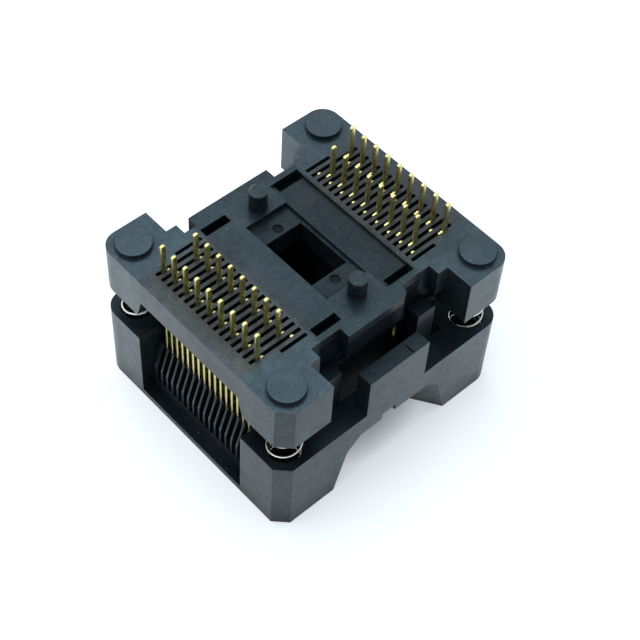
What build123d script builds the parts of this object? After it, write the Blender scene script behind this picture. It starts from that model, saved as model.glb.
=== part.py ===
"""Open-top burn-in socket for a fine-pitch small-outline package.

The socket stands the way it lies on the bench: its actuating cover is down on the surface and its
solder tails point up. All sizes are in millimetres, +Z is up, and the origin is the middle of the
cover's press face. X runs across the two rows of contacts and Y runs along them.
"""
from build123d import *
from math import cos, radians, sin
import os

os.makedirs("parts", exist_ok=True)

# Contact rows
pitch = 0.65
contacts_per_side = 17
contact_thickness = 0.25
tail_width = 0.42
outer_tail_x = 9.35
inner_tail_x = 6.81
tail_tip_cut = 0.1
slot_clearance = 0.03

# Heights, from the press face up
cover_height = 7.4
spring_gap = 2.8
ear_height = 4.4
plate_thickness = 2.5
standoff_height = 0.4
tail_length = 2.4
cover_stroke = 2.0

ear_bottom_z = cover_height + spring_gap
plate_top_z = ear_bottom_z + ear_height
plate_bottom_z = plate_top_z - plate_thickness
seating_z = plate_top_z + standoff_height
tail_tip_z = seating_z + tail_length

# Base housing, seen from the tail side
base_x = 22.8
base_y = 21.0
ear_inner_x = 6.85
ear_inner_y = 5.5
ear_draft = 0.55
corner_radius = 1.5
index_chamfer = 1.05
plate_edge_y = 8.0
plate_right_x = 3.0
plate_left_x = 4.76
pocket_back_y = 7.05
pocket_outer_x = 5.9
pocket_step_y = 8.05
plate_corner_radius = 0.7
cross_wall_thickness = 0.5

# Standoff bosses with the springs on the same axes
boss_inset_x = 1.9
boss_inset_y = 1.95
boss_radius = 1.4
boss_x = base_x / 2 - boss_inset_x
boss_y = base_y / 2 - boss_inset_y

# Locating pegs
peg_radius = 0.73
peg_height = 1.88
peg_chamfer = 0.13
peg_y = 5.5

# Window and recesses in the tail side of the base
window_x = 3.5
window_y = 5.1
recess_x = 4.1
recess_y = 9.0
recess_depth = 0.5
strip_edge_x = 4.82
strip_y = 13.0
strip_depth = 0.25
clip_slot_x = 3.65
clip_slot_y = 6.12
clip_slot_length = 2.4
clip_slot_width = 0.8
ejector_mark_radius = 0.42
ejector_mark_y = 3.2
ejector_mark_depth = 0.12

# Contact cavities through the base
cavity_inner_x = 5.25
cavity_outer_x = 10.05
cavity_width = contact_thickness + 2 * slot_clearance
end_cavity_outer_x = 7.7

# Actuating cover
cover_margin = 0.1
cover_x = base_x + 2 * cover_margin
cover_y = base_y + 2 * cover_margin
cover_floor = 1.0
rail_thickness = 0.6
post_inner_y = 5.95
post_inner_x = 6.9
side_wall_thickness = 1.33
opening_x = 10.4
opening_y = 16.0
block_left_x = 3.1
block_right_x = 2.9
front_block_height = 4.0
back_block_height = 1.7
cover_corner_radius = 1.6

# Guide posts of the cover with their retaining noses
guide_inner_x = 3.9
guide_outer_x = 5.7
narrow_guide_inner_x = 4.96
guide_clearance = 0.1
catch_depth = 0.25
catch_height = 0.65
nose_depth = 0.28
nose_height = 0.45
guide_front_y = 8.4

# Finger arches in the two end walls
arch_foot_x = 6.0
arch_waist_x = 4.85
arch_waist_z = 4.1
arch_crown_x = 3.5
arch_crown_z = 5.3
arch_notch_x = 1.4
arch_notch_z = 5.95
arch_inner_x = 4.2
arch_depth = 2.7

# Cam comb of the cover
comb_top_z = 5.5
comb_inner_x = 8.2
comb_outer_top_x = 9.63
comb_kink_x = 10.4
comb_kink_z = 3.1
comb_rib_thickness = 0.2
cam_clearance = 0.06
cam_slot_floor_z = 1.4

# Moving arms of the contacts, drawn on their middle line
arm_width = 0.32
arm_pivot_x = 7.6
arm_pivot_z = 11.0
arm_edge_half_width = 0.2
arm_edge_depth = 0.35
pivot_clearance = 0.04
arm_beam_z = 10.3
lever_tip_z = 4.4
nose_x = 3.95
nose_top_z = 5.1
nose_low_z = 4.55
inner_arm_x = 5.2
bend_cut = 0.7

# Fixed roots of the contacts
root_bottom_z = plate_bottom_z + 0.4
root_top_z = root_bottom_z + 0.8
shoulder_top_z = plate_top_z - 0.15
shoulder_length = 0.45
outer_root_shoulder_x = 6.05
inner_root_shoulder_x = 8.6
neck_width = 0.9
seat_half_width = 0.35
seat_depth = 0.35

# Package nest
nest_x = 7.0
nest_y = 12.8
nest_wall = 0.9
lead_ledge_z = 5.2
lead_ledge_x = 8.5
lead_ledge_height = 1.0
lead_rib_height = 0.4
guide_wall_length = 1.7
guide_wall_thickness = 0.6
guide_drop = 3.0
end_wall_drop = 2.4
clip_leg_clearance = 0.05
clip_leg_drop = 0.9

# Return springs
spring_outer_radius = 1.25
wire_radius = 0.1
spring_turns = 7
spring_pocket_radius = 1.45
spring_top_depth = 2.4
spring_foot_depth = 2.0
spring_end_gap = 0.05

neck_foot_z = arm_pivot_z + pivot_clearance - seat_depth

contact_y = [(i - (contacts_per_side - 1) / 2) * pitch for i in range(contacts_per_side)]
rib_y = [(i - contacts_per_side / 2) * pitch for i in range(contacts_per_side + 1)]
side_names = {"left": -1, "right": 1}
corner_names = {
    "front_left": (-1, -1),
    "front_right": (1, -1),
    "back_left": (-1, 1),
    "back_right": (1, 1),
}
half_base_x = base_x / 2
half_base_y = base_y / 2
half_cover_x = cover_x / 2
half_cover_y = cover_y / 2


def cross_section(y):
    """A drawing plane across the rows at this y, with X to the right and Z up."""
    return Plane.XZ.offset(-y)


def index_corners(half_x, half_y, radius, chamfer_leg):
    """The plan of a housing: three round corners and one cut corner that marks the first contact."""
    with BuildSketch() as plan:
        Rectangle(2 * half_x, 2 * half_y)
        first_corner = plan.vertices().sort_by(Axis.X)[:2].sort_by(Axis.Y)[0]
        chamfer(first_corner, chamfer_leg)
        round_ones = [v for v in plan.vertices() if v.X > 0 or v.Y > half_y - 0.01]
        fillet(round_ones, radius)
    return plan.sketch


def notch_between_ears(side_y, left_pocket_x):
    """The plan of the gap between two ears, on the side of the plate that side_y names."""
    far = half_base_y + 1
    outline = [
        (-ear_inner_x, far),
        (-ear_inner_x, pocket_step_y),
        (-pocket_outer_x, pocket_step_y),
        (-pocket_outer_x, pocket_back_y),
        (-left_pocket_x, pocket_back_y),
        (-left_pocket_x, plate_edge_y),
        (plate_right_x, plate_edge_y),
        (plate_right_x, pocket_back_y),
        (pocket_outer_x, pocket_back_y),
        (pocket_outer_x, pocket_step_y),
        (ear_inner_x, pocket_step_y),
        (ear_inner_x, far),
    ]
    with BuildSketch() as notch:
        with BuildLine():
            Polyline([(x, side_y * y) for x, y in outline], close=True)
        make_face()
        if side_y < 0:
            plate_edge = notch.vertices().filter_by_position(
                Axis.X, plate_right_x - 0.01, plate_right_x + 0.01
            )
            fillet(plate_edge.sort_by(Axis.Y)[0], plate_corner_radius)
    return notch.sketch


# Base housing: plate, four ears, standoffs, pegs and the contact cavities
with BuildPart() as base_housing:
    with BuildSketch(Plane.XY.offset(ear_bottom_z)):
        add(index_corners(half_base_x, half_base_y, corner_radius, index_chamfer))
    extrude(amount=ear_height)

    # The underside is hollow between the ears, whose inner walls lean outwards
    with BuildSketch(Plane.YZ) as ear_gap:
        with BuildLine():
            Polyline(
                (-ear_inner_y, plate_bottom_z),
                (-ear_inner_y - ear_draft, ear_bottom_z),
                (ear_inner_y + ear_draft, ear_bottom_z),
                (ear_inner_y, plate_bottom_z),
                close=True,
            )
        make_face()
    extrude(amount=half_base_x, both=True, mode=Mode.SUBTRACT)
    with BuildSketch(Plane.XY.offset(ear_bottom_z)):
        Rectangle(2 * ear_inner_x, base_y)
    extrude(amount=plate_bottom_z - ear_bottom_z, mode=Mode.SUBTRACT)

    # A cross wall at each end stiffens the plate and carries the catch ledge
    with BuildSketch(Plane.XY.offset(ear_bottom_z)):
        for side_y in (-1, 1):
            with Locations((0, side_y * (pocket_back_y - cross_wall_thickness / 2))):
                Rectangle(2 * ear_inner_x, cross_wall_thickness)
    extrude(amount=plate_bottom_z - ear_bottom_z)

    with BuildSketch(Plane.XY.offset(ear_bottom_z)):
        add(notch_between_ears(-1, block_left_x))
        add(notch_between_ears(1, plate_left_x))
    extrude(amount=ear_height, mode=Mode.SUBTRACT)

    with BuildSketch(Plane.XY.offset(ear_bottom_z)):
        for side_y in (-1, 1):
            with Locations((0, side_y * (pocket_back_y + catch_depth / 2))):
                Rectangle(2 * ear_inner_x, catch_depth)
    extrude(amount=catch_height)

    # Standoff bosses and locating pegs
    with BuildSketch(Plane.XY.offset(plate_top_z)):
        with GridLocations(2 * boss_x, 2 * boss_y, 2, 2):
            Circle(boss_radius)
    extrude(amount=standoff_height)
    with BuildSketch(Plane.XY.offset(plate_top_z)):
        with GridLocations(0, 2 * peg_y, 1, 2):
            Circle(peg_radius)
    extrude(amount=peg_height)
    peg_rims = base_housing.edges().filter_by(GeomType.CIRCLE).group_by(Axis.Z)[-1]
    chamfer(peg_rims, peg_chamfer)

    # Recess round the window, the lower strip beside it and the moulding marks
    with BuildSketch(Plane.XY.offset(plate_top_z)):
        Rectangle(recess_x, recess_y)
    extrude(amount=-recess_depth, mode=Mode.SUBTRACT)
    with BuildSketch(Plane.XY.offset(plate_top_z)):
        with Locations(((recess_x / 2 + strip_edge_x) / 2, 0)):
            Rectangle(strip_edge_x - recess_x / 2, strip_y)
    extrude(amount=-strip_depth, mode=Mode.SUBTRACT)
    with BuildSketch(Plane.XY.offset(plate_top_z - recess_depth)):
        with GridLocations(0, 2 * ejector_mark_y, 1, 2):
            Circle(ejector_mark_radius)
    extrude(amount=-ejector_mark_depth, mode=Mode.SUBTRACT)
    with BuildSketch(Plane.XY.offset(plate_top_z)):
        Rectangle(window_x, window_y)
        with GridLocations(2 * clip_slot_x, 2 * clip_slot_y, 2, 2):
            Rectangle(clip_slot_length, clip_slot_width)
    extrude(amount=-plate_thickness, mode=Mode.SUBTRACT)

    # Contact cavities: one through slot for each contact, and a shallow one past each end
    cavity_middle_x = (cavity_inner_x + cavity_outer_x) / 2
    with BuildSketch(Plane.XY.offset(plate_top_z)):
        for side in side_names.values():
            with Locations(*[(side * cavity_middle_x, y) for y in contact_y]):
                Rectangle(cavity_outer_x - cavity_inner_x, cavity_width)
    extrude(amount=-plate_thickness, mode=Mode.SUBTRACT)
    end_cavity_y = (contacts_per_side + 1) / 2 * pitch
    end_cavity_middle_x = (cavity_inner_x + end_cavity_outer_x) / 2
    with BuildSketch(Plane.XY.offset(plate_top_z)):
        for side in side_names.values():
            for end in (-1, 1):
                with Locations((side * end_cavity_middle_x, end * end_cavity_y)):
                    Rectangle(end_cavity_outer_x - cavity_inner_x, cavity_width)
    extrude(amount=-plate_thickness / 2, mode=Mode.SUBTRACT)

    # Spring pockets in the undersides of the ears
    with BuildSketch(Plane.XY.offset(ear_bottom_z)):
        with GridLocations(2 * boss_x, 2 * boss_y, 2, 2):
            Circle(spring_pocket_radius)
    extrude(amount=spring_top_depth, mode=Mode.SUBTRACT)
base_housing.part.label = "base_housing"
export_step(base_housing.part, "parts/base_housing.step")


# Contact roots with their solder tails, held in the cavities of the base
def root_profile(side, tail_x, shoulder_x):
    """Flat outline of one fixed root: bar, two insertion shoulders, tail and the neck's seat."""
    tail_inner = tail_x - tail_width / 2
    tail_outer = tail_x + tail_width / 2
    bar_inner = cavity_inner_x + 0.5
    bar_outer = outer_tail_x + tail_width / 2
    with BuildSketch() as outline:
        with Locations((side * (bar_inner + bar_outer) / 2, (root_bottom_z + root_top_z) / 2)):
            Rectangle(bar_outer - bar_inner, root_top_z - root_bottom_z)
        with Locations((side * tail_x, (root_bottom_z + tail_tip_z) / 2)):
            Rectangle(tail_width, tail_tip_z - root_bottom_z)
        tip_corners = outline.vertices().group_by(Axis.Y)[-1]
        chamfer(tip_corners, tail_tip_cut)
        for middle in (tail_inner - shoulder_length / 2, shoulder_x):
            with Locations((side * middle, (root_bottom_z + shoulder_top_z) / 2)):
                Rectangle(shoulder_length, shoulder_top_z - root_bottom_z)
        with BuildLine():
            Polyline(
                (side * (arm_pivot_x - neck_width / 2), root_bottom_z),
                (side * (arm_pivot_x - neck_width / 2), neck_foot_z),
                (side * (arm_pivot_x - seat_half_width), neck_foot_z),
                (side * arm_pivot_x, arm_pivot_z + pivot_clearance),
                (side * (arm_pivot_x + seat_half_width), neck_foot_z),
                (side * (arm_pivot_x + neck_width / 2), neck_foot_z),
                (side * (arm_pivot_x + neck_width / 2), root_bottom_z),
                close=True,
            )
        make_face()
    return outline.sketch


for side_name, side in side_names.items():
    outer_root = root_profile(side, outer_tail_x, outer_root_shoulder_x)
    inner_root = root_profile(side, inner_tail_x, inner_root_shoulder_x)
    for index, y in enumerate(contact_y):
        with BuildPart() as contact:
            with BuildSketch(cross_section(y)):
                add(outer_root if index % 2 == 0 else inner_root)
            extrude(amount=contact_thickness / 2, both=True)
        contact_name = f"contact_{side_name}_{index + 1:02d}"
        contact.part.label = contact_name
        export_step(contact.part, f"parts/{contact_name}.step")


# Moving arms: a lever that the cam comb pushes and a finger that holds a lead
def arm_profile(side):
    """Flat outline of one arm, from the lever's tip over the pivot edge to the finger's nose."""
    middle_line = [
        (outer_tail_x, lever_tip_z),
        (outer_tail_x, arm_beam_z - bend_cut),
        (outer_tail_x - bend_cut, arm_beam_z),
        (inner_arm_x + bend_cut, arm_beam_z),
        (inner_arm_x, arm_beam_z - bend_cut),
        (inner_arm_x, nose_low_z + bend_cut / 2),
        (inner_arm_x - bend_cut / 2, nose_low_z),
        (nose_x, nose_low_z),
        (nose_x, nose_top_z),
    ]
    with BuildSketch() as outline:
        with BuildLine():
            Polyline(*[(side * x, z) for x, z in middle_line])
        trace(line_width=arm_width)
        with BuildLine():
            Polyline(
                (side * (arm_pivot_x - arm_edge_half_width), arm_beam_z),
                (side * (arm_pivot_x - arm_edge_half_width), arm_pivot_z - arm_edge_depth),
                (side * arm_pivot_x, arm_pivot_z),
                (side * (arm_pivot_x + arm_edge_half_width), arm_pivot_z - arm_edge_depth),
                (side * (arm_pivot_x + arm_edge_half_width), arm_beam_z),
                close=True,
            )
        make_face()
    return outline.sketch


for side_name, side in side_names.items():
    with BuildPart() as one_arm:
        with BuildSketch(Plane.XZ):
            add(arm_profile(side))
        extrude(amount=contact_thickness / 2, both=True)
    with BuildPart() as contact_arms:
        with Locations(*[(0, y, 0) for y in contact_y]):
            add(one_arm.part)
    contact_arms.part.label = f"contact_arms_{side_name}"
    export_step(contact_arms.part, f"parts/contact_arms_{side_name}.step")


# Actuating cover: four posts on a floor, two end walls with finger arches, guides and cam combs
nose_bottom_z = ear_bottom_z + catch_height + 0.02
guide_top_z = nose_bottom_z + nose_height
guide_back_y = pocket_back_y + catch_depth + guide_clearance
cam_slope = 0.35
lever_inner_x = outer_tail_x - arm_width / 2
cam_top_x = lever_inner_x - cam_clearance - cam_slope * (comb_top_z - lever_tip_z)
cam_foot_x = lever_inner_x - cam_clearance + cam_slope * (lever_tip_z - cam_slot_floor_z)
comb_span = (contacts_per_side + 1) * pitch
cam_slot_width = pitch - comb_rib_thickness


def arch_outline(scale):
    """Half-round finger arch of an end wall; scale runs from 1 outside to 0 at its inner end."""
    narrowing = (arch_foot_x - arch_inner_x) * (1 - scale)
    waist = max(arch_waist_x - narrowing, arch_crown_x - narrowing + 0.3)
    outline = [
        (-arch_foot_x + narrowing, -1),
        (-arch_foot_x + narrowing, 0),
        (-waist, arch_waist_z),
        (-arch_crown_x + narrowing, arch_crown_z),
        (arch_crown_x - narrowing, arch_crown_z),
        (waist, arch_waist_z),
        (arch_foot_x - narrowing, 0),
        (arch_foot_x - narrowing, -1),
    ]
    with BuildSketch() as arch:
        with BuildLine():
            Polyline(*outline, close=True)
        make_face()
    return arch.sketch


# The space of one slot on each side: its inner face is the cam that pushes a lever outwards
with BuildPart() as cam_slots:
    for side in side_names.values():
        with BuildSketch(Plane.XZ):
            with BuildLine():
                Polyline(
                    (side * cam_top_x, comb_top_z),
                    (side * cam_foot_x, cam_slot_floor_z),
                    (side * half_cover_x, cam_slot_floor_z),
                    (side * half_cover_x, comb_top_z),
                    close=True,
                )
            make_face()
        extrude(amount=cam_slot_width / 2, both=True)

with BuildPart() as actuator_cover:
    with BuildSketch():
        add(index_corners(half_cover_x, half_cover_y, cover_corner_radius, index_chamfer))
    extrude(amount=cover_height)

    # The two long sides are open above a thin rail, and the middle is hollow above the floor
    with BuildSketch(Plane.XY.offset(cover_floor)):
        Rectangle(2 * post_inner_x, 2 * guide_front_y)
    extrude(amount=cover_height, mode=Mode.SUBTRACT)
    with BuildSketch(Plane.XY.offset(rail_thickness)):
        Rectangle(cover_x, 2 * post_inner_y)
    extrude(amount=cover_height, mode=Mode.SUBTRACT)
    with BuildSketch():
        Rectangle(opening_x, opening_y)
    extrude(amount=cover_floor, mode=Mode.SUBTRACT)

    # Cam combs: a sloping rack whose slots each take one contact lever
    for side in side_names.values():
        with BuildSketch(Plane.XZ):
            with BuildLine():
                Polyline(
                    (side * comb_inner_x, rail_thickness),
                    (side * comb_inner_x, comb_top_z),
                    (side * comb_outer_top_x, comb_top_z),
                    (side * comb_kink_x, comb_kink_z),
                    (side * comb_kink_x, rail_thickness),
                    close=True,
                )
            make_face()
        extrude(amount=comb_span / 2, both=True)
    with Locations(*[(0, y, 0) for y in contact_y]):
        add(cam_slots.part, mode=Mode.SUBTRACT)

    # Blocks in the middle of the end walls, with an ejector slit in the front one
    block_middle_x = (block_right_x - block_left_x) / 2
    block_width = block_left_x + block_right_x
    for side_y, block_height in ((-1, front_block_height), (1, back_block_height)):
        with BuildSketch(Plane.XY.offset(cover_height)):
            with Locations((block_middle_x, side_y * (half_cover_y - side_wall_thickness / 2))):
                Rectangle(block_width, side_wall_thickness)
        extrude(amount=block_height)
    with BuildSketch(Plane.XY.offset(cover_height + front_block_height)):
        with Locations((1.33, -half_cover_y + 0.53)):
            Rectangle(0.12, 0.86)
    extrude(amount=-0.4, mode=Mode.SUBTRACT)

    # Guide posts with noses that hold the cover against its springs
    for side_x, side_y in corner_names.values():
        narrow = side_x < 0 < side_y
        inner_x = narrow_guide_inner_x if narrow else guide_inner_x
        guide_middle_x = side_x * (inner_x + guide_outer_x) / 2
        with BuildSketch():
            with Locations((guide_middle_x, side_y * (guide_back_y + guide_front_y) / 2)):
                Rectangle(guide_outer_x - inner_x, guide_front_y - guide_back_y)
        extrude(amount=guide_top_z)
        with BuildSketch(Plane.XY.offset(nose_bottom_z)):
            with Locations((guide_middle_x, side_y * (guide_back_y - nose_depth / 2))):
                Rectangle(guide_outer_x - inner_x, nose_depth)
        extrude(amount=nose_height)

    # Finger arches, narrower towards the inside
    for side_y in (-1, 1):
        with BuildSketch(cross_section(side_y * half_cover_y)):
            add(arch_outline(1))
        with BuildSketch(cross_section(side_y * (half_cover_y - arch_depth))):
            add(arch_outline(0))
        loft(ruled=True, mode=Mode.SUBTRACT)
        with BuildSketch(cross_section(side_y * half_cover_y)):
            with Locations((-arch_notch_x / 2, (arch_crown_z + arch_notch_z) / 2 - 0.1)):
                Rectangle(arch_notch_x, arch_notch_z - arch_crown_z + 0.2)
        extrude(amount=side_y * arch_depth, mode=Mode.SUBTRACT)

    # Spring seats in the tops of the posts
    with BuildSketch(Plane.XY.offset(cover_height)):
        with GridLocations(2 * boss_x, 2 * boss_y, 2, 2):
            Circle(spring_pocket_radius)
    extrude(amount=-spring_foot_depth, mode=Mode.SUBTRACT)
actuator_cover.part.label = "actuator_cover"
export_step(actuator_cover.part, "parts/actuator_cover.step")

# Package nest: a box clipped to the underside of the plate, with combs for the package leads
nest_top_z = plate_bottom_z - 0.02
ledge_top_z = lead_ledge_z + lead_ledge_height
with BuildPart() as package_nest:
    with BuildSketch(Plane.XY.offset(lead_ledge_z)):
        Rectangle(nest_x, nest_y)
        Rectangle(nest_x - 2 * nest_wall, nest_y - 2 * nest_wall, mode=Mode.SUBTRACT)
    extrude(amount=nest_top_z - lead_ledge_z)
    with BuildSketch(Plane.XY.offset(lead_ledge_z)):
        Rectangle(lead_ledge_x, nest_y)
        Rectangle(window_x, window_y, mode=Mode.SUBTRACT)
    extrude(amount=lead_ledge_height)

    # Ribs between the leads
    rib_middle_x = (nest_x / 2 + lead_ledge_x / 2) / 2
    with BuildSketch(Plane.XY.offset(lead_ledge_z)):
        for side in side_names.values():
            with Locations(*[(side * rib_middle_x, y) for y in rib_y]):
                Rectangle((lead_ledge_x - nest_x) / 2, pitch - contact_thickness - 0.15)
    extrude(amount=-lead_rib_height)

    # End walls and longer corner guides for the package body
    with BuildSketch(Plane.XY.offset(lead_ledge_z)):
        with GridLocations(0, nest_y - guide_wall_thickness, 1, 2):
            Rectangle(nest_x, guide_wall_thickness)
    extrude(amount=-end_wall_drop)
    with BuildSketch(Plane.XY.offset(lead_ledge_z)):
        for side_x, side_y in corner_names.values():
            guide_x = side_x * (nest_x - guide_wall_length) / 2
            with Locations((guide_x, side_y * (nest_y - guide_wall_thickness) / 2)):
                Rectangle(guide_wall_length, guide_wall_thickness)
    extrude(amount=-guide_drop)

    # Flange and legs that clip into the plate
    with BuildSketch(Plane.XY.offset(nest_top_z)):
        with GridLocations(0, 2 * clip_slot_y, 1, 2):
            Rectangle(2 * clip_slot_x + clip_slot_length, clip_slot_width)
    extrude(amount=-1.0)
    with BuildSketch(Plane.XY.offset(nest_top_z)):
        with GridLocations(2 * clip_slot_x, 2 * clip_slot_y, 2, 2):
            leg_thickness = clip_slot_width - 2 * clip_leg_clearance
            Rectangle(clip_slot_length - 2 * clip_leg_clearance, leg_thickness)
    extrude(amount=plate_top_z - clip_leg_drop - nest_top_z)
package_nest.part.label = "package_nest"
export_step(package_nest.part, "parts/package_nest.step")

# Return springs between the ears and the posts
spring_bottom_z = cover_height - spring_foot_depth + spring_end_gap
spring_top_z = ear_bottom_z + spring_top_depth - spring_end_gap
coil_radius = spring_outer_radius - wire_radius
coil_rise = spring_top_z - spring_bottom_z - 2 * wire_radius
steps_per_turn = 12
coil_steps = int(spring_turns * steps_per_turn)
coil_points = [
    (
        coil_radius * cos(radians(360 / steps_per_turn * i)),
        coil_radius * sin(radians(360 / steps_per_turn * i)),
        coil_rise * i / coil_steps,
    )
    for i in range(coil_steps + 1)
]
for corner, (side_x, side_y) in corner_names.items():
    foot = Plane((side_x * boss_x, side_y * boss_y, spring_bottom_z + wire_radius))
    with BuildPart() as spring:
        with BuildLine(foot) as coil:
            Polyline(*coil_points)
        with BuildSketch(Plane(origin=coil.line @ 0, z_dir=coil.line % 0)):
            Rectangle(2 * wire_radius, 2 * wire_radius)
        sweep(path=coil.line, transition=Transition.RIGHT)
    spring.part.label = f"spring_{corner}"
    export_step(spring.part, f"parts/spring_{corner}.step")
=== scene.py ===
import bmesh
import bpy
from math import cos, pi, radians, sin, tan
from mathutils import Matrix, Vector


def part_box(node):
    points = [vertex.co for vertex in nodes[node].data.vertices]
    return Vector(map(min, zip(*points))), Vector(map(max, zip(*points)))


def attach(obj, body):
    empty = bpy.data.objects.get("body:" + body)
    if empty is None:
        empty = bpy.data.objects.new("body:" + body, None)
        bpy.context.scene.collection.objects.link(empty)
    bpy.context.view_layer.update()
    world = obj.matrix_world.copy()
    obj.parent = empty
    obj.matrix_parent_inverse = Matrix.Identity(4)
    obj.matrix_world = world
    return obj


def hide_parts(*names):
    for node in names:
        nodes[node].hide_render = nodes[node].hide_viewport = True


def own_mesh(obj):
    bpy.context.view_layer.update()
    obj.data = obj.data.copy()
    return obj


# The burn-in socket as it lies in the photograph: upside down on a white table, solder tails up.
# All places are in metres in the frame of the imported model; MM turns a size in millimetres to metres.
MM = 0.001

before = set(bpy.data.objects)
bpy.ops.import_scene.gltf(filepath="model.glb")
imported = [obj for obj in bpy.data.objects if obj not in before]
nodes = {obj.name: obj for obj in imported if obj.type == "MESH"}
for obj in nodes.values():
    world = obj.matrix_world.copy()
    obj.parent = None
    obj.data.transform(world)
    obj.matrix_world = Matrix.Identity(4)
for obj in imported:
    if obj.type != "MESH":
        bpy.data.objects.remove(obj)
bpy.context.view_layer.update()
scene = bpy.context.scene

# Stamped contacts
SHEET_THICKNESS = 0.25 * MM
STRIP_ROUNDING = 0.05 * MM
STRIP_EDGE_STEPS = 3
CORNER_ROUNDING = 0.25 * MM
CORNER_STEPS = 4
CORNER_SHARE = 0.45  # the most of an edge that the curve at its end takes up
STRAIGHT_ON = radians(5)  # a corner that turns less than this gets no curve
SHARPEST_LEAN = 0.5  # holds back a very sharp corner when the outline shrinks
SAME_POINT = 0.001 * MM
SAME_PLANE = radians(1)
FACES_FRONT = 0.99
NO_LENGTH = 1e-9

# Return springs, round wire with closed ends
SPRING_RADIUS = 1.38 * MM
SPRING_WIRE_RADIUS = 0.085 * MM
SPRING_TURNS = 5
SPRING_CLOSED_TURNS = 1
SPRING_CLOSED_RISE = 2.1 * SPRING_WIRE_RADIUS
SPRING_STEPS_PER_TURN = 40
SPRING_WIRE_SIDES = 12
SPRING_STARTS = (("left", 0.0), ("right", pi))

# Moulded plastics: nearly black, so that their gloss does most of the look
PLASTIC_IOR = 1.75
PLASTIC_ROUGHNESS = (0.30, 0.42)
PLASTIC_TONES = ((0.006, 0.008, 0.010), (0.010, 0.014, 0.017), (0.026, 0.028, 0.028))
# Painted shade: the nest is only seen deep in shade, so its plastic is a darker, duller copy
NEST_IOR = 1.4
NEST_ROUGHNESS = (0.6, 0.75)
SHADED_NEST_TONES = ((0.003, 0.004, 0.004), (0.005, 0.006, 0.007), (0.008, 0.009, 0.010))
# Pale edges, partly wear and partly a painted highlight
EDGE_WEAR_AND_HIGHLIGHT_COLOUR = (0.045, 0.052, 0.058, 1)
DUST_COLOUR = (0.11, 0.12, 0.12, 1)
BLUE_SHEEN = (0.75, 0.94, 1.0, 1)
# Painted reflection: the bluer gloss of upward faces
PAINTED_TOP_SHEEN = (0.51, 0.81, 1.0, 1)
# Painted reflection: the warm gloss that the gold contacts cast on the ribs
PAINTED_GOLD_SHEEN = (0.60, 0.69, 0.75, 1)
EDGE_ROUNDING = 0.07 * MM
OPEN_REACH = 5 * MM
EDGE_SAMPLES = 6

# Noise of the plastics: the size of its spots, and what it does
CLOUD_SIZE = 2.2 * MM
CLOUD_STOPS = (0.3, 0.55, 0.8)
GRAIN_SIZE = 0.14 * MM
GRAIN_TONES = ((0.35, (0.82, 0.82, 0.82)), (0.7, (1.18, 1.18, 1.18)))
GRAIN_DEPTH = 0.002 * MM
RELIEF_SIZE = 0.5 * MM
RELIEF_DEPTH = 0.003 * MM
SCUFF_SIZE = 0.4 * MM
SCUFF_RANGE = (0.1, 0.9)
DUST_SIZE = 0.25 * MM
DUST_STEP = (0.74, 0.78)
DULL_SPOT_SIZE = 0.8 * MM
BLOTCH_SIZE = 0.7 * MM
PATCH_SIZE = 3.5 * MM
GRAIN_GLOSS = (0.42, 0.98)
BLOTCH_GLOSS = (0.46, 0.94)
PATCH_GLOSS = (0.88, 1.12)

# Steps, each from where a change begins to where it ends: along openness, along the cosine between a
# rounded and a flat normal, and along a normal's Z
WEAR_AND_HIGHLIGHT_OPEN_STEP = (0.55, 0.85)
GLOSS_OPEN_STEP = (0.35, 0.85)
WEAR_AND_HIGHLIGHT_TURN_STEP = (0.90, 0.995)
UPWARD_STEP = (0.6, 0.9)

# Shares of the full gloss. Those of the cover as a whole and of the ejector marks are the plastics' own; the
# rest are painted shade: on upward faces, in closed places, on the plate's middle, recess and well, on the
# pegs' sides, on the comb fins and on the nest.
TOP_SHADE_GLOSS = 0.73
COVER_GLOSS = 0.87
COVER_TOP_SHADE_GLOSS = 0.28
SHADED_NEST_GLOSS = 0.5
CLOSED_SHADE_GLOSS = 0.05
PLATE_MIDDLE_SHADE_GLOSS = 0.62
PLATE_RECESS_SHADE_GLOSS = 0.38
COMB_SHADE_GLOSS = 0.45
WELL_SHADE_GLOSS = 0.12
MARK_GLOSS = 0.35
PEG_SHADE_GLOSS = 0.40

# Parts of the bodies that get painted shade or a painted warm reflection in their gloss, and the ejector
# marks. A band along X or Y: its middle, half its width and the fade beside it, on both sides of the origin.
# A step along Z: where it begins and where it ends.
MIDDLE_BANDS = ((0, 4.9 * MM, 0.3 * MM), (0, 8.1 * MM, 0.1 * MM))
RIB_BANDS = ((8.1 * MM, 2.9 * MM, 1.4 * MM), (0, 5.6 * MM, 0.1 * MM))
FIN_BANDS = ((8.3 * MM, 1.9 * MM, 0.2 * MM), (0, 6.2 * MM, 0.1 * MM))
PEG_BAND = (0, 1.2 * MM, 0.1 * MM)
PEG_FOOT_STEP = (14.64 * MM, 14.9 * MM)
PEG_TIP_STEP = (16.2 * MM, 16.4 * MM)
PLATE_STEP = (14.46 * MM, 14.56 * MM)
WELL_STEP = (13.7 * MM, 13.95 * MM)
MARK_PLACE = 3.2 * MM
MARK_RADIUS = 0.42 * MM
MARK_FADE = 0.1

# Metals
GOLD_TONES = ((0.3, (0.78, 0.71, 0.29)), (0.7, (0.88, 0.82, 0.40)))
GOLD_ROUGHNESS = (0.24, 0.33)
GOLD_PATCH_SIZE = 0.6 * MM
DRAWN_SIZE = 0.10 * MM
DRAWN_STRETCH = (1.0, 1.0, 0.12)
DRAWN_SHARE = 0.4
DRAWN_DEPTH = 0.0003 * MM
STEEL_TONES = ((0.3, (0.62, 0.62, 0.62)), (0.7, (0.86, 0.86, 0.85)))
STEEL_ROUGHNESS = (0.12, 0.26)
STEEL_TONE_SIZE = 0.3 * MM
STEEL_GRAIN_SIZE = 0.05 * MM
STEEL_GRAIN_DEPTH = 0.001 * MM

# Ranges that noise is read over
MOST_OF_NOISE = (0.3, 0.7)
MIDDLE_OF_NOISE = (0.35, 0.65)
UPPER_NOISE = (0.3, 0.75)

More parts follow.
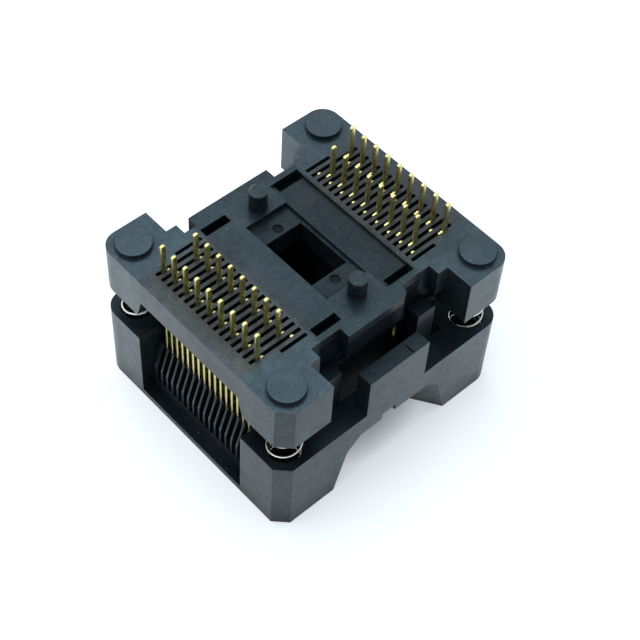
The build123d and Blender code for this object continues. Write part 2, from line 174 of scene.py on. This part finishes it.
# Table, room, lamps and camera
TABLE_SIZE = 600 * MM
TABLE_DROP = 0.01 * MM
TABLE_WHITE = (0.97, 0.97, 0.97, 1)
# Painted shade on the table near the camera, seen only in gloss
TABLE_NEAR_PAINTED_SHADE = (0.25, 0.26, 0.28, 1)
TABLE_FAR_WHITE = (1, 1, 1, 1)
TABLE_AWAY = (0.58, 0.81, 0)
TABLE_AWAY_STEP = (-24 * MM, 2 * MM)
TABLE_GLOW = 0.40
TABLE_GLOW_STEP = (7.5 * MM, 10.5 * MM)
ROOM_COLOUR = (0.78, 0.95, 1.1, 1)
ROOM_LIGHT = 0.50
BACKDROP_WHITE = (1, 1, 1, 1)
LAMP_SIZE = 0.25
LAMP_TARGET = (0, 0, 8 * MM)
LAMPS = (  # name, place, power in watts and colour
    ("left_lamp", (-0.20, 0.05, 0.20), 0.08, (1.0, 0.99, 0.97)),
    ("ceiling_lamp", (0.0, 0.065, 0.30), 0.39, (0.92, 0.97, 1.0)),
)
CAMERA_PLACE = Vector((-0.05005, -0.05096, 0.09901))
CAMERA_LOOK = Vector((0.43548, 0.42639, -0.79281))
CAMERA_ROLL = radians(-4.2156)
SENSOR_WIDTH = 36.0
FOCAL_IN_WIDTHS = 2.3216


# Material building blocks
class Nodes:
    """Short calls that add shader nodes to one node tree."""

    def __init__(self, tree):
        self.tree = tree

    def add(self, kind, **settings):
        node = self.tree.nodes.new("ShaderNode" + kind)
        for name, value in settings.items():
            setattr(node, name, value)
        return node

    def feed(self, socket, source):
        """The socket takes this output, or keeps this number or colour."""
        if isinstance(source, bpy.types.NodeSocket):
            self.tree.links.new(source, socket)
        elif isinstance(source, (float, int)) and socket.type == "RGBA":
            socket.default_value = (source, source, source, 1)
        else:
            socket.default_value = source

    def math(self, operation, first, second=0.0):
        node = self.add("Math", operation=operation)
        self.feed(node.inputs[0], first)
        self.feed(node.inputs[1], second)
        return node.outputs["Value"]

    def times(self, first, *others):
        """The product of these values."""
        for other in others:
            first = self.math("MULTIPLY", first, other)
        return first

    def vector_math(self, operation, first, second=(0, 0, 0)):
        """The number that this operation gives for one or two vectors."""
        node = self.add("VectorMath", operation=operation)
        self.feed(node.inputs[0], first)
        self.feed(node.inputs[1], second)
        return node.outputs["Value"]

    def axis(self, name, vector):
        """One coordinate of a vector."""
        node = self.add("SeparateXYZ")
        self.feed(node.inputs["Vector"], vector)
        return node.outputs[name]

    def span(self, value, low, high, source=MOST_OF_NOISE):
        """A value moved from its source range to the range from low to high, and held at its ends."""
        node = self.add("MapRange")
        self.feed(node.inputs["Value"], value)
        node.inputs["From Min"].default_value, node.inputs["From Max"].default_value = source
        node.inputs["To Min"].default_value = low
        node.inputs["To Max"].default_value = high
        return node.outputs["Result"]

    def mix(self, factor, first, second, blend="MIX"):
        node = self.add("Mix", data_type="RGBA", blend_type=blend)
        self.feed(node.inputs["Factor"], factor)
        self.feed(node.inputs["A"], first)
        self.feed(node.inputs["B"], second)
        return node.outputs["Result"]

    def seen_directly(self):
        """One for rays of the camera, of gloss and through glass, else zero."""
        rays = self.add("LightPath").outputs
        seen = self.math("MAXIMUM", rays["Is Camera Ray"], rays["Is Glossy Ray"])
        return self.math("MAXIMUM", seen, rays["Is Transmission Ray"])


class Shader(Nodes):
    """A node material with one Principled shader, laid out by the object's own coordinates."""

    def __init__(self, name):
        self.material = bpy.data.materials.new(name)
        self.material.use_nodes = True
        super().__init__(self.material.node_tree)
        self.principled = self.tree.nodes["Principled BSDF"]
        coordinates = self.add("TexCoord")
        self.place = coordinates.outputs["Object"]
        self.facing = coordinates.outputs["Normal"]

    def set(self, name, source):
        self.feed(self.principled.inputs[name], source)

    def noise(self, size, detail=3.0, roughness=0.55, stretch=None):
        """Noise whose spots are about this size, in metres."""
        node = self.add("TexNoise")
        node.inputs["Scale"].default_value = 1.0 / size
        node.inputs["Detail"].default_value = detail
        node.inputs["Roughness"].default_value = roughness
        place = self.place
        if stretch:
            mapping = self.add("Mapping")
            mapping.inputs["Scale"].default_value = stretch
            self.feed(mapping.inputs["Vector"], self.place)
            place = mapping.outputs["Vector"]
        self.feed(node.inputs["Vector"], place)
        return node.outputs["Fac"]

    def ramp(self, value, stops):
        """Colours along a value; stops are (position, colour) pairs."""
        node = self.add("ValToRGB")
        elements = node.color_ramp.elements
        while len(elements) < len(stops):
            elements.new(0.5)
        for element, (position, colour) in zip(elements, stops):
            element.position = position
            element.color = (*colour, 1)
        self.feed(node.inputs["Fac"], value)
        return node.outputs["Color"]

    def rounded_edges(self, radius):
        """Normals that bend over each edge as if it were rounded by this radius."""
        node = self.add("Bevel", samples=EDGE_SAMPLES)
        node.inputs["Radius"].default_value = radius
        return node.outputs["Normal"]

    def openness(self, distance):
        """How open each place is within this distance: one on free faces, less in corners and cavities."""
        node = self.add("AmbientOcclusion", samples=EDGE_SAMPLES)
        node.inputs["Distance"].default_value = distance
        return node.outputs["AO"]

    def edge_wear_and_highlight(self, rounded, openness):
        """Partly wear, partly painted highlight: one along outer edges, zero on flat faces and in corners."""
        flat = self.add("NewGeometry").outputs["Normal"]
        on_edge = self.span(self.vector_math("DOT_PRODUCT", rounded, flat), 1.0, 0.0, WEAR_AND_HIGHLIGHT_TURN_STEP)
        return self.times(on_edge, self.span(openness, 0.0, 1.0, WEAR_AND_HIGHLIGHT_OPEN_STEP))

    def bump(self, height, distance, strength=1.0, after=None):
        """Normals of a relief this deep, in metres, on top of other normals if they are given."""
        node = self.add("Bump")
        node.inputs["Distance"].default_value = distance
        node.inputs["Strength"].default_value = strength
        self.feed(node.inputs["Height"], height)
        if after is not None:
            self.feed(node.inputs["Normal"], after)
        return node.outputs["Normal"]

    def band(self, axis, middle, reach, fade):
        """One where this coordinate's size is within reach of the middle, fading to zero."""
        size = self.math("ABSOLUTE", self.axis(axis, self.place))
        distance = self.math("ABSOLUTE", self.math("SUBTRACT", size, middle))
        return self.span(distance, 1.0, 0.0, (reach, reach + fade))

    def area(self, along_x, along_y):
        """One where a band across X and a band across Y meet."""
        return self.times(self.band("X", *along_x), self.band("Y", *along_y))

    def above(self, step, low=0.0, high=1.0):
        """From low to high as Z goes through this step."""
        return self.span(self.axis("Z", self.place), low, high, step)

    def dull(self, gloss, where, share):
        """The gloss, cut to this share of itself where the mask is one."""
        return self.times(gloss, self.mix(where, 1.0, share))


def plate_shade_sheen_and_marks(shader, gloss, sheen):
    """The base: painted shade that dulls the gloss of the plate's middle and recess, makes its hollows near
    black and darkens the pegs' sides, duller ejector marks, and a painted warm reflection of the gold on the
    ribs.
    """
    # Painted shade: the plate's middle duller, its recess more, its well near black
    middle = shader.area(*MIDDLE_BANDS)
    gloss = shader.dull(gloss, middle, shader.above(PLATE_STEP, PLATE_RECESS_SHADE_GLOSS, PLATE_MIDDLE_SHADE_GLOSS))
    well = shader.times(middle, shader.above(WELL_STEP, 1.0, 0.0))
    gloss = shader.dull(gloss, well, WELL_SHADE_GLOSS)
    # Painted shade on the pegs' sides
    foot, tip = shader.above(PEG_FOOT_STEP), shader.above(PEG_TIP_STEP, 1.0, 0.0)
    gloss = shader.dull(gloss, shader.times(shader.band("X", *PEG_BAND), foot, tip), PEG_SHADE_GLOSS)

    # The two round ejector marks in the recess
    from_mark = shader.add("CombineXYZ")
    shader.feed(from_mark.inputs["X"], shader.axis("X", shader.place))
    size = shader.math("ABSOLUTE", shader.axis("Y", shader.place))
    shader.feed(from_mark.inputs["Y"], shader.math("SUBTRACT", size, MARK_PLACE))
    distance = shader.vector_math("LENGTH", from_mark.outputs["Vector"])
    rim = ((1 - MARK_FADE) * MARK_RADIUS, (1 + MARK_FADE) * MARK_RADIUS)
    gloss = shader.dull(gloss, shader.span(distance, 1.0, 0.0, rim), MARK_GLOSS)
    # Painted reflection: the ribs take on the warm gloss of the gold between them
    return gloss, shader.mix(shader.area(*RIB_BANDS), sheen, PAINTED_GOLD_SHEEN)


def comb_painted_shade(shader, gloss, sheen):
    """The cover: painted shade makes the gloss of the cam combs' fins duller than that of the outer faces."""
    return shader.dull(gloss, shader.area(*FIN_BANDS), COMB_SHADE_GLOSS), sheen


def moulded_plastic(name, tones=PLASTIC_TONES, gloss_level=1.0, top_shade_gloss=TOP_SHADE_GLOSS, ior=PLASTIC_IOR,
                    roughness=PLASTIC_ROUGHNESS, painted_light_and_marks=None):
    """Blue-black glass-filled plastic: clouded and grained, dusty, pale at its edges from wear and a painted
    highlight, unevenly glossy, with painted shade in its gloss in hollows and on upward faces.
    """
    shader = Shader(name)
    grain = shader.noise(GRAIN_SIZE, detail=2.0)
    openness = shader.openness(OPEN_REACH)
    rounded = shader.rounded_edges(EDGE_ROUNDING)

    # Colour: clouds from dark to dusty, grain specks, pale edges of wear and painted highlight, grains of
    # dust
    clouds = shader.noise(CLOUD_SIZE, detail=5.0, roughness=0.6)
    colour = shader.ramp(clouds, list(zip(CLOUD_STOPS, tones)))
    colour = shader.mix(1.0, colour, shader.ramp(grain, GRAIN_TONES), "MULTIPLY")
    scuffs = shader.span(shader.noise(SCUFF_SIZE), *SCUFF_RANGE, MIDDLE_OF_NOISE)
    colour = shader.mix(shader.times(shader.edge_wear_and_highlight(rounded, openness), scuffs), colour, EDGE_WEAR_AND_HIGHLIGHT_COLOUR)
    dust = shader.span(shader.noise(DUST_SIZE, detail=1.0), 0.0, 1.0, DUST_STEP)
    shader.set("Base Color", shader.mix(shader.times(dust, openness), colour, DUST_COLOUR))

    # Surface: uneven roughness, and a coarse and a fine relief over rounded edges
    shader.set("Roughness", shader.span(shader.noise(DULL_SPOT_SIZE, detail=4.0), *roughness))
    coarse = shader.bump(shader.noise(RELIEF_SIZE, detail=4.0), RELIEF_DEPTH, 0.5, after=rounded)
    shader.set("Normal", shader.bump(grain, GRAIN_DEPTH, 0.6, after=coarse))

    # Gloss: grain, blotches and wide patches, cut by painted shade in corners and cavities
    fine = shader.span(grain, *GRAIN_GLOSS, UPPER_NOISE)
    blotches = shader.span(shader.noise(BLOTCH_SIZE, detail=6.0, roughness=0.7), *BLOTCH_GLOSS)
    patches = shader.span(shader.noise(PATCH_SIZE), *PATCH_GLOSS, MIDDLE_OF_NOISE)
    exposed = shader.span(openness, CLOSED_SHADE_GLOSS * gloss_level, gloss_level, GLOSS_OPEN_STEP)
    gloss = shader.times(shader.mix(0.5, fine, blotches), patches, exposed)

    # Painted shade and reflection: upward faces get a duller, bluer gloss than the sides
    upward = shader.span(shader.axis("Z", shader.facing), 0.0, 1.0, UPWARD_STEP)
    gloss = shader.dull(gloss, upward, top_shade_gloss)
    sheen = shader.mix(upward, BLUE_SHEEN, PAINTED_TOP_SHEEN)
    if painted_light_and_marks:
        gloss, sheen = painted_light_and_marks(shader, gloss, sheen)
    shader.set("Specular Tint", sheen)
    shader.set("Specular IOR Level", gloss)
    shader.set("IOR", ior)
    return shader.material


def gold_plate(name):
    """Gold plating on stamped strip, a little duller in patches and faintly drawn along its length."""
    shader = Shader(name)
    patches = shader.noise(GOLD_PATCH_SIZE)
    drawn = shader.noise(DRAWN_SIZE, detail=2.0, stretch=DRAWN_STRETCH)
    shader.set("Base Color", shader.ramp(patches, GOLD_TONES))
    shader.set("Roughness", shader.span(shader.mix(DRAWN_SHARE, patches, drawn), *GOLD_ROUGHNESS))
    shader.set("Normal", shader.bump(drawn, DRAWN_DEPTH, 0.06))
    shader.set("Metallic", 1.0)
    return shader.material


def spring_wire(name):
    """Bright drawn steel wire."""
    shader = Shader(name)
    tone = shader.noise(STEEL_TONE_SIZE)
    shader.set("Base Color", shader.ramp(tone, STEEL_TONES))
    shader.set("Roughness", shader.span(tone, *STEEL_ROUGHNESS))
    shader.set("Normal", shader.bump(shader.noise(STEEL_GRAIN_SIZE), STEEL_GRAIN_DEPTH, 0.4))
    shader.set("Metallic", 1.0)
    return shader.material


base_plastic = moulded_plastic("base_plastic", painted_light_and_marks=plate_shade_sheen_and_marks)
cover_plastic = moulded_plastic("cover_plastic", gloss_level=COVER_GLOSS, top_shade_gloss=COVER_TOP_SHADE_GLOSS,
                                painted_light_and_marks=comb_painted_shade)
# Painted shade: a darker, duller copy of the plastic for the shaded nest
nest_plastic = moulded_plastic("nest_plastic", SHADED_NEST_TONES, gloss_level=SHADED_NEST_GLOSS, ior=NEST_IOR,
                               roughness=NEST_ROUGHNESS)
contact_gold = gold_plate("contact_gold")
spring_steel = spring_wire("spring_steel")


def finish_with(piece, material):
    """The piece shows this one material."""
    piece.data.materials.clear()
    piece.data.materials.append(material)


def link(name, data):
    """A new object with this mesh, lamp or camera, in the scene's own collection."""
    piece = bpy.data.objects.new(name, data)
    scene.collection.objects.link(piece)
    return piece


def close_tube(mesh, rings):
    """Faces between the rings of vertices, and a cap at both ends."""
    for first, second in zip(rings, rings[1:]):
        for here in range(len(first)):
            after = (here + 1) % len(first)
            mesh.faces.new((first[here], first[after], second[after], second[here]))
    mesh.faces.new(list(reversed(rings[0])))
    mesh.faces.new(rings[-1])


def smooth_piece(name, mesh, material):
    """The finished mesh as a smooth object in this material."""
    bmesh.ops.recalc_face_normals(mesh, faces=mesh.faces)
    data = bpy.data.meshes.new(name)
    mesh.to_mesh(data)
    mesh.free()
    for polygon in data.polygons:
        polygon.use_smooth = True
    piece = link(name, data)
    finish_with(piece, material)
    return piece


# Moulded bodies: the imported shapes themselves
for node, material in (("base_housing", base_plastic), ("actuator_cover", cover_plastic),
                       ("package_nest", nest_plastic)):
    finish_with(nodes[node], material)


# Stamped contacts and arms
def flat_outlines(node):
    """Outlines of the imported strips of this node, each as the points round its side that faces +Y."""
    mesh = bmesh.new()
    mesh.from_mesh(nodes[node].data)
    bmesh.ops.remove_doubles(mesh, verts=mesh.verts, dist=SAME_POINT)
    bmesh.ops.dissolve_limit(mesh, angle_limit=SAME_PLANE, verts=mesh.verts, edges=mesh.edges)
    outlines = [[vert.co.copy() for vert in face.verts] for face in mesh.faces if face.normal.y > FACES_FRONT]
    mesh.free()
    return outlines


def corners_of(points):
    """Each corner of a closed outline with the points before and after it."""
    return zip(points[-1:] + points[:-1], points, points[1:] + points[:1])


def soften_corners(points, radius):
    """The outline with each corner drawn as a short curve."""
    softened = []
    for before, corner, after in corners_of(points):
        back, onward = before - corner, after - corner
        turn = pi - back.angle(onward)
        reach = min(radius * tan(turn / 2), CORNER_SHARE * back.length, CORNER_SHARE * onward.length)
        start, end = corner + back.normalized() * reach, corner + onward.normalized() * reach
        steps = CORNER_STEPS if turn > STRAIGHT_ON else 1
        for step in range(steps + 1):
            t = step / steps
            softened.append(start * (1 - t) ** 2 + corner * 2 * t * (1 - t) + end * t ** 2)
    return softened


def shrink(points, distance):
    """The outline, seen from +Y, moved inwards by this distance."""
    shrunk = []
    for before, corner, after in corners_of(points):
        inwards = []
        for edge in (corner - before, after - corner):
            across = Vector((edge.z, 0, -edge.x)) if edge.length > NO_LENGTH else Vector((0, 0, 0))
            inwards.append(across.normalized())
        lean = 1 + inwards[0].dot(inwards[1])
        shrunk.append(corner + (inwards[0] + inwards[1]) * (distance / max(lean, SHARPEST_LEAN)))
    return shrunk


def turn_area(points):
    """Twice the signed area of the outline in X and Z."""
    return sum(a.x * b.z - b.x * a.z for a, b in zip(points, points[1:] + points[:1]))


def add_strip(mesh, outline):
    """One stamped strip with rounded edges, as thick as the sheet."""
    points = soften_corners(outline, CORNER_ROUNDING)
    if turn_area(points) > 0:
        points.reverse()
    profile = []
    for step in range(STRIP_EDGE_STEPS + 1):
        angle = pi / 2 * step / STRIP_EDGE_STEPS
        profile.append((STRIP_ROUNDING * (1 - cos(angle)), STRIP_ROUNDING * (1 - sin(angle))))
    profile += [(SHEET_THICKNESS - depth, inset) for depth, inset in reversed(profile)]
    rings = []
    for depth, inset in profile:
        rings.append([mesh.verts.new(point - Vector((0, depth, 0))) for point in shrink(points, inset)])
    close_tube(mesh, rings)


def stamped_metal(node, body):
    """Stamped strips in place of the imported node."""
    mesh = bmesh.new()
    for outline in flat_outlines(node):
        add_strip(mesh, outline)
    piece = smooth_piece(node + "_strip", mesh, contact_gold)
    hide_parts(node)
    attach(piece, body)


for name in nodes:
    if name.startswith("contact_arms"):
        stamped_metal(name, name.replace("contact_", ""))
    elif name.startswith("contact"):
        stamped_metal(name, "base")


# Return springs
def spring_line(bottom, top, start):
    """Angles and heights along the wire from this angle up: closed at both ends, even between them."""
    turns = SPRING_TURNS + 2 * SPRING_CLOSED_TURNS
    open_rise = (top - bottom - 2 * SPRING_CLOSED_TURNS * SPRING_CLOSED_RISE) / SPRING_TURNS
    height = bottom
    line = []
    for step in range(turns * SPRING_STEPS_PER_TURN + 1):
        turn = step / SPRING_STEPS_PER_TURN
        line.append((start + 2 * pi * turn, height))
        closed = turn < SPRING_CLOSED_TURNS or turn >= turns - SPRING_CLOSED_TURNS
        height += (SPRING_CLOSED_RISE if closed else open_rise) / SPRING_STEPS_PER_TURN
    return line


def return_spring(node, start):
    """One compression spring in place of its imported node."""
    low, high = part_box(node)
    middle = (low + high) / 2
    coil_radius = SPRING_RADIUS - SPRING_WIRE_RADIUS
    mesh = bmesh.new()
    rings = []
    for angle, height in spring_line(low.z + SPRING_WIRE_RADIUS, high.z - SPRING_WIRE_RADIUS, start):
        outward = Vector((cos(angle), sin(angle), 0))
        centre = Vector((middle.x, middle.y, height)) + outward * coil_radius
        ring = []
        for side in range(SPRING_WIRE_SIDES):
            turn = 2 * pi * side / SPRING_WIRE_SIDES
            from_centre = SPRING_WIRE_RADIUS * (outward * cos(turn) + Vector((0, 0, sin(turn))))
            ring.append(mesh.verts.new(centre + from_centre))
        rings.append(ring)
    close_tube(mesh, rings)
    piece = smooth_piece(node + "_coil", mesh, spring_steel)
    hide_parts(node)
    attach(piece, "base")
    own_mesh(piece)


for end in ("front", "back"):
    for side, start in SPRING_STARTS:
        return_spring(f"spring_{end}_{side}", start)


# Table
def table_paper():
    """White paper with painted shade towards the near corner in the object's gloss, that glows a little
    except near the object's middle.
    """
    shader = Shader("table_paper")
    place = shader.add("NewGeometry").outputs["Position"]
    shader.set("Roughness", 0.9)
    shader.set("Specular IOR Level", 0.1)

    # Painted shade: seen in gloss, the paper is darker towards the near corner, where the photographer stands
    away = shader.span(shader.vector_math("DOT_PRODUCT", place, TABLE_AWAY), 0.0, 1.0, TABLE_AWAY_STEP)
    in_gloss = shader.mix(away, TABLE_NEAR_PAINTED_SHADE, TABLE_FAR_WHITE)
    glossy_ray = shader.add("LightPath").outputs["Is Glossy Ray"]
    shader.set("Base Color", shader.mix(glossy_ray, TABLE_WHITE, in_gloss))

    # The glow makes it plain white away from the object and fades out within a set distance of its middle, a
    # painted shadow under the object; it reaches the object only in its gloss
    glow = shader.span(shader.vector_math("LENGTH", place), 0.0, TABLE_GLOW, TABLE_GLOW_STEP)
    shader.set("Emission Strength", shader.times(glow, shader.seen_directly()))
    shader.set("Emission Color", (1, 1, 1, 1))
    return shader.material


table_mesh = bpy.data.meshes.new("table")
table_signs = ((-1, -1), (1, -1), (1, 1), (-1, 1))
table_corners = [(x * TABLE_SIZE, y * TABLE_SIZE, -TABLE_DROP) for x, y in table_signs]
table_mesh.from_pydata(table_corners, [], [(0, 1, 2, 3)])
table = link("table", table_mesh)
finish_with(table, table_paper())

# Room: white to the camera, in gloss and through glass, dimmer and cooler as light
world = bpy.data.worlds.new("room")
scene.world = world
world.use_nodes = True
room_nodes = Nodes(world.node_tree)
room = world.node_tree.nodes["Background"]
room.inputs["Color"].default_value = ROOM_COLOUR
room.inputs["Strength"].default_value = ROOM_LIGHT
backdrop = room_nodes.add("Background")
backdrop.inputs["Color"].default_value = BACKDROP_WHITE
backdrop.inputs["Strength"].default_value = 1.0
either = room_nodes.add("MixShader")
room_nodes.feed(either.inputs["Fac"], room_nodes.seen_directly())
room_nodes.feed(either.inputs[1], room.outputs["Background"])
room_nodes.feed(either.inputs[2], backdrop.outputs["Background"])
room_nodes.feed(world.node_tree.nodes["World Output"].inputs["Surface"], either.outputs["Shader"])


# Lamps
def soft_box(name, place, power, colour):
    """A square area lamp at this place that faces the object."""
    lamp_data = bpy.data.lights.new(name, "AREA")
    lamp_data.size = LAMP_SIZE
    lamp_data.energy = power
    lamp_data.color = colour
    lamp = link(name, lamp_data)
    lamp.location = place
    lamp.rotation_euler = (Vector(LAMP_TARGET) - Vector(place)).to_track_quat("-Z", "Y").to_euler()


for lamp in LAMPS:
    soft_box(*lamp)

# Camera, at the photograph's place
look = CAMERA_LOOK.normalized()
right = look.cross(Vector((0, 0, 1))).normalized()
up = right.cross(look)
turned_up = up * cos(CAMERA_ROLL) + right * sin(CAMERA_ROLL)
turned_right = look.cross(turned_up)
camera_data = bpy.data.cameras.new("camera")
camera_data.sensor_width = SENSOR_WIDTH
camera_data.lens = SENSOR_WIDTH * FOCAL_IN_WIDTHS
camera_data.clip_start = 1 * MM
camera = link("camera", camera_data)
rotation = Matrix((turned_right, turned_up, -look)).transposed()
camera.matrix_world = Matrix.Translation(CAMERA_PLACE) @ rotation.to_4x4()
scene.camera = camera
scene.view_settings.view_transform = "Standard"
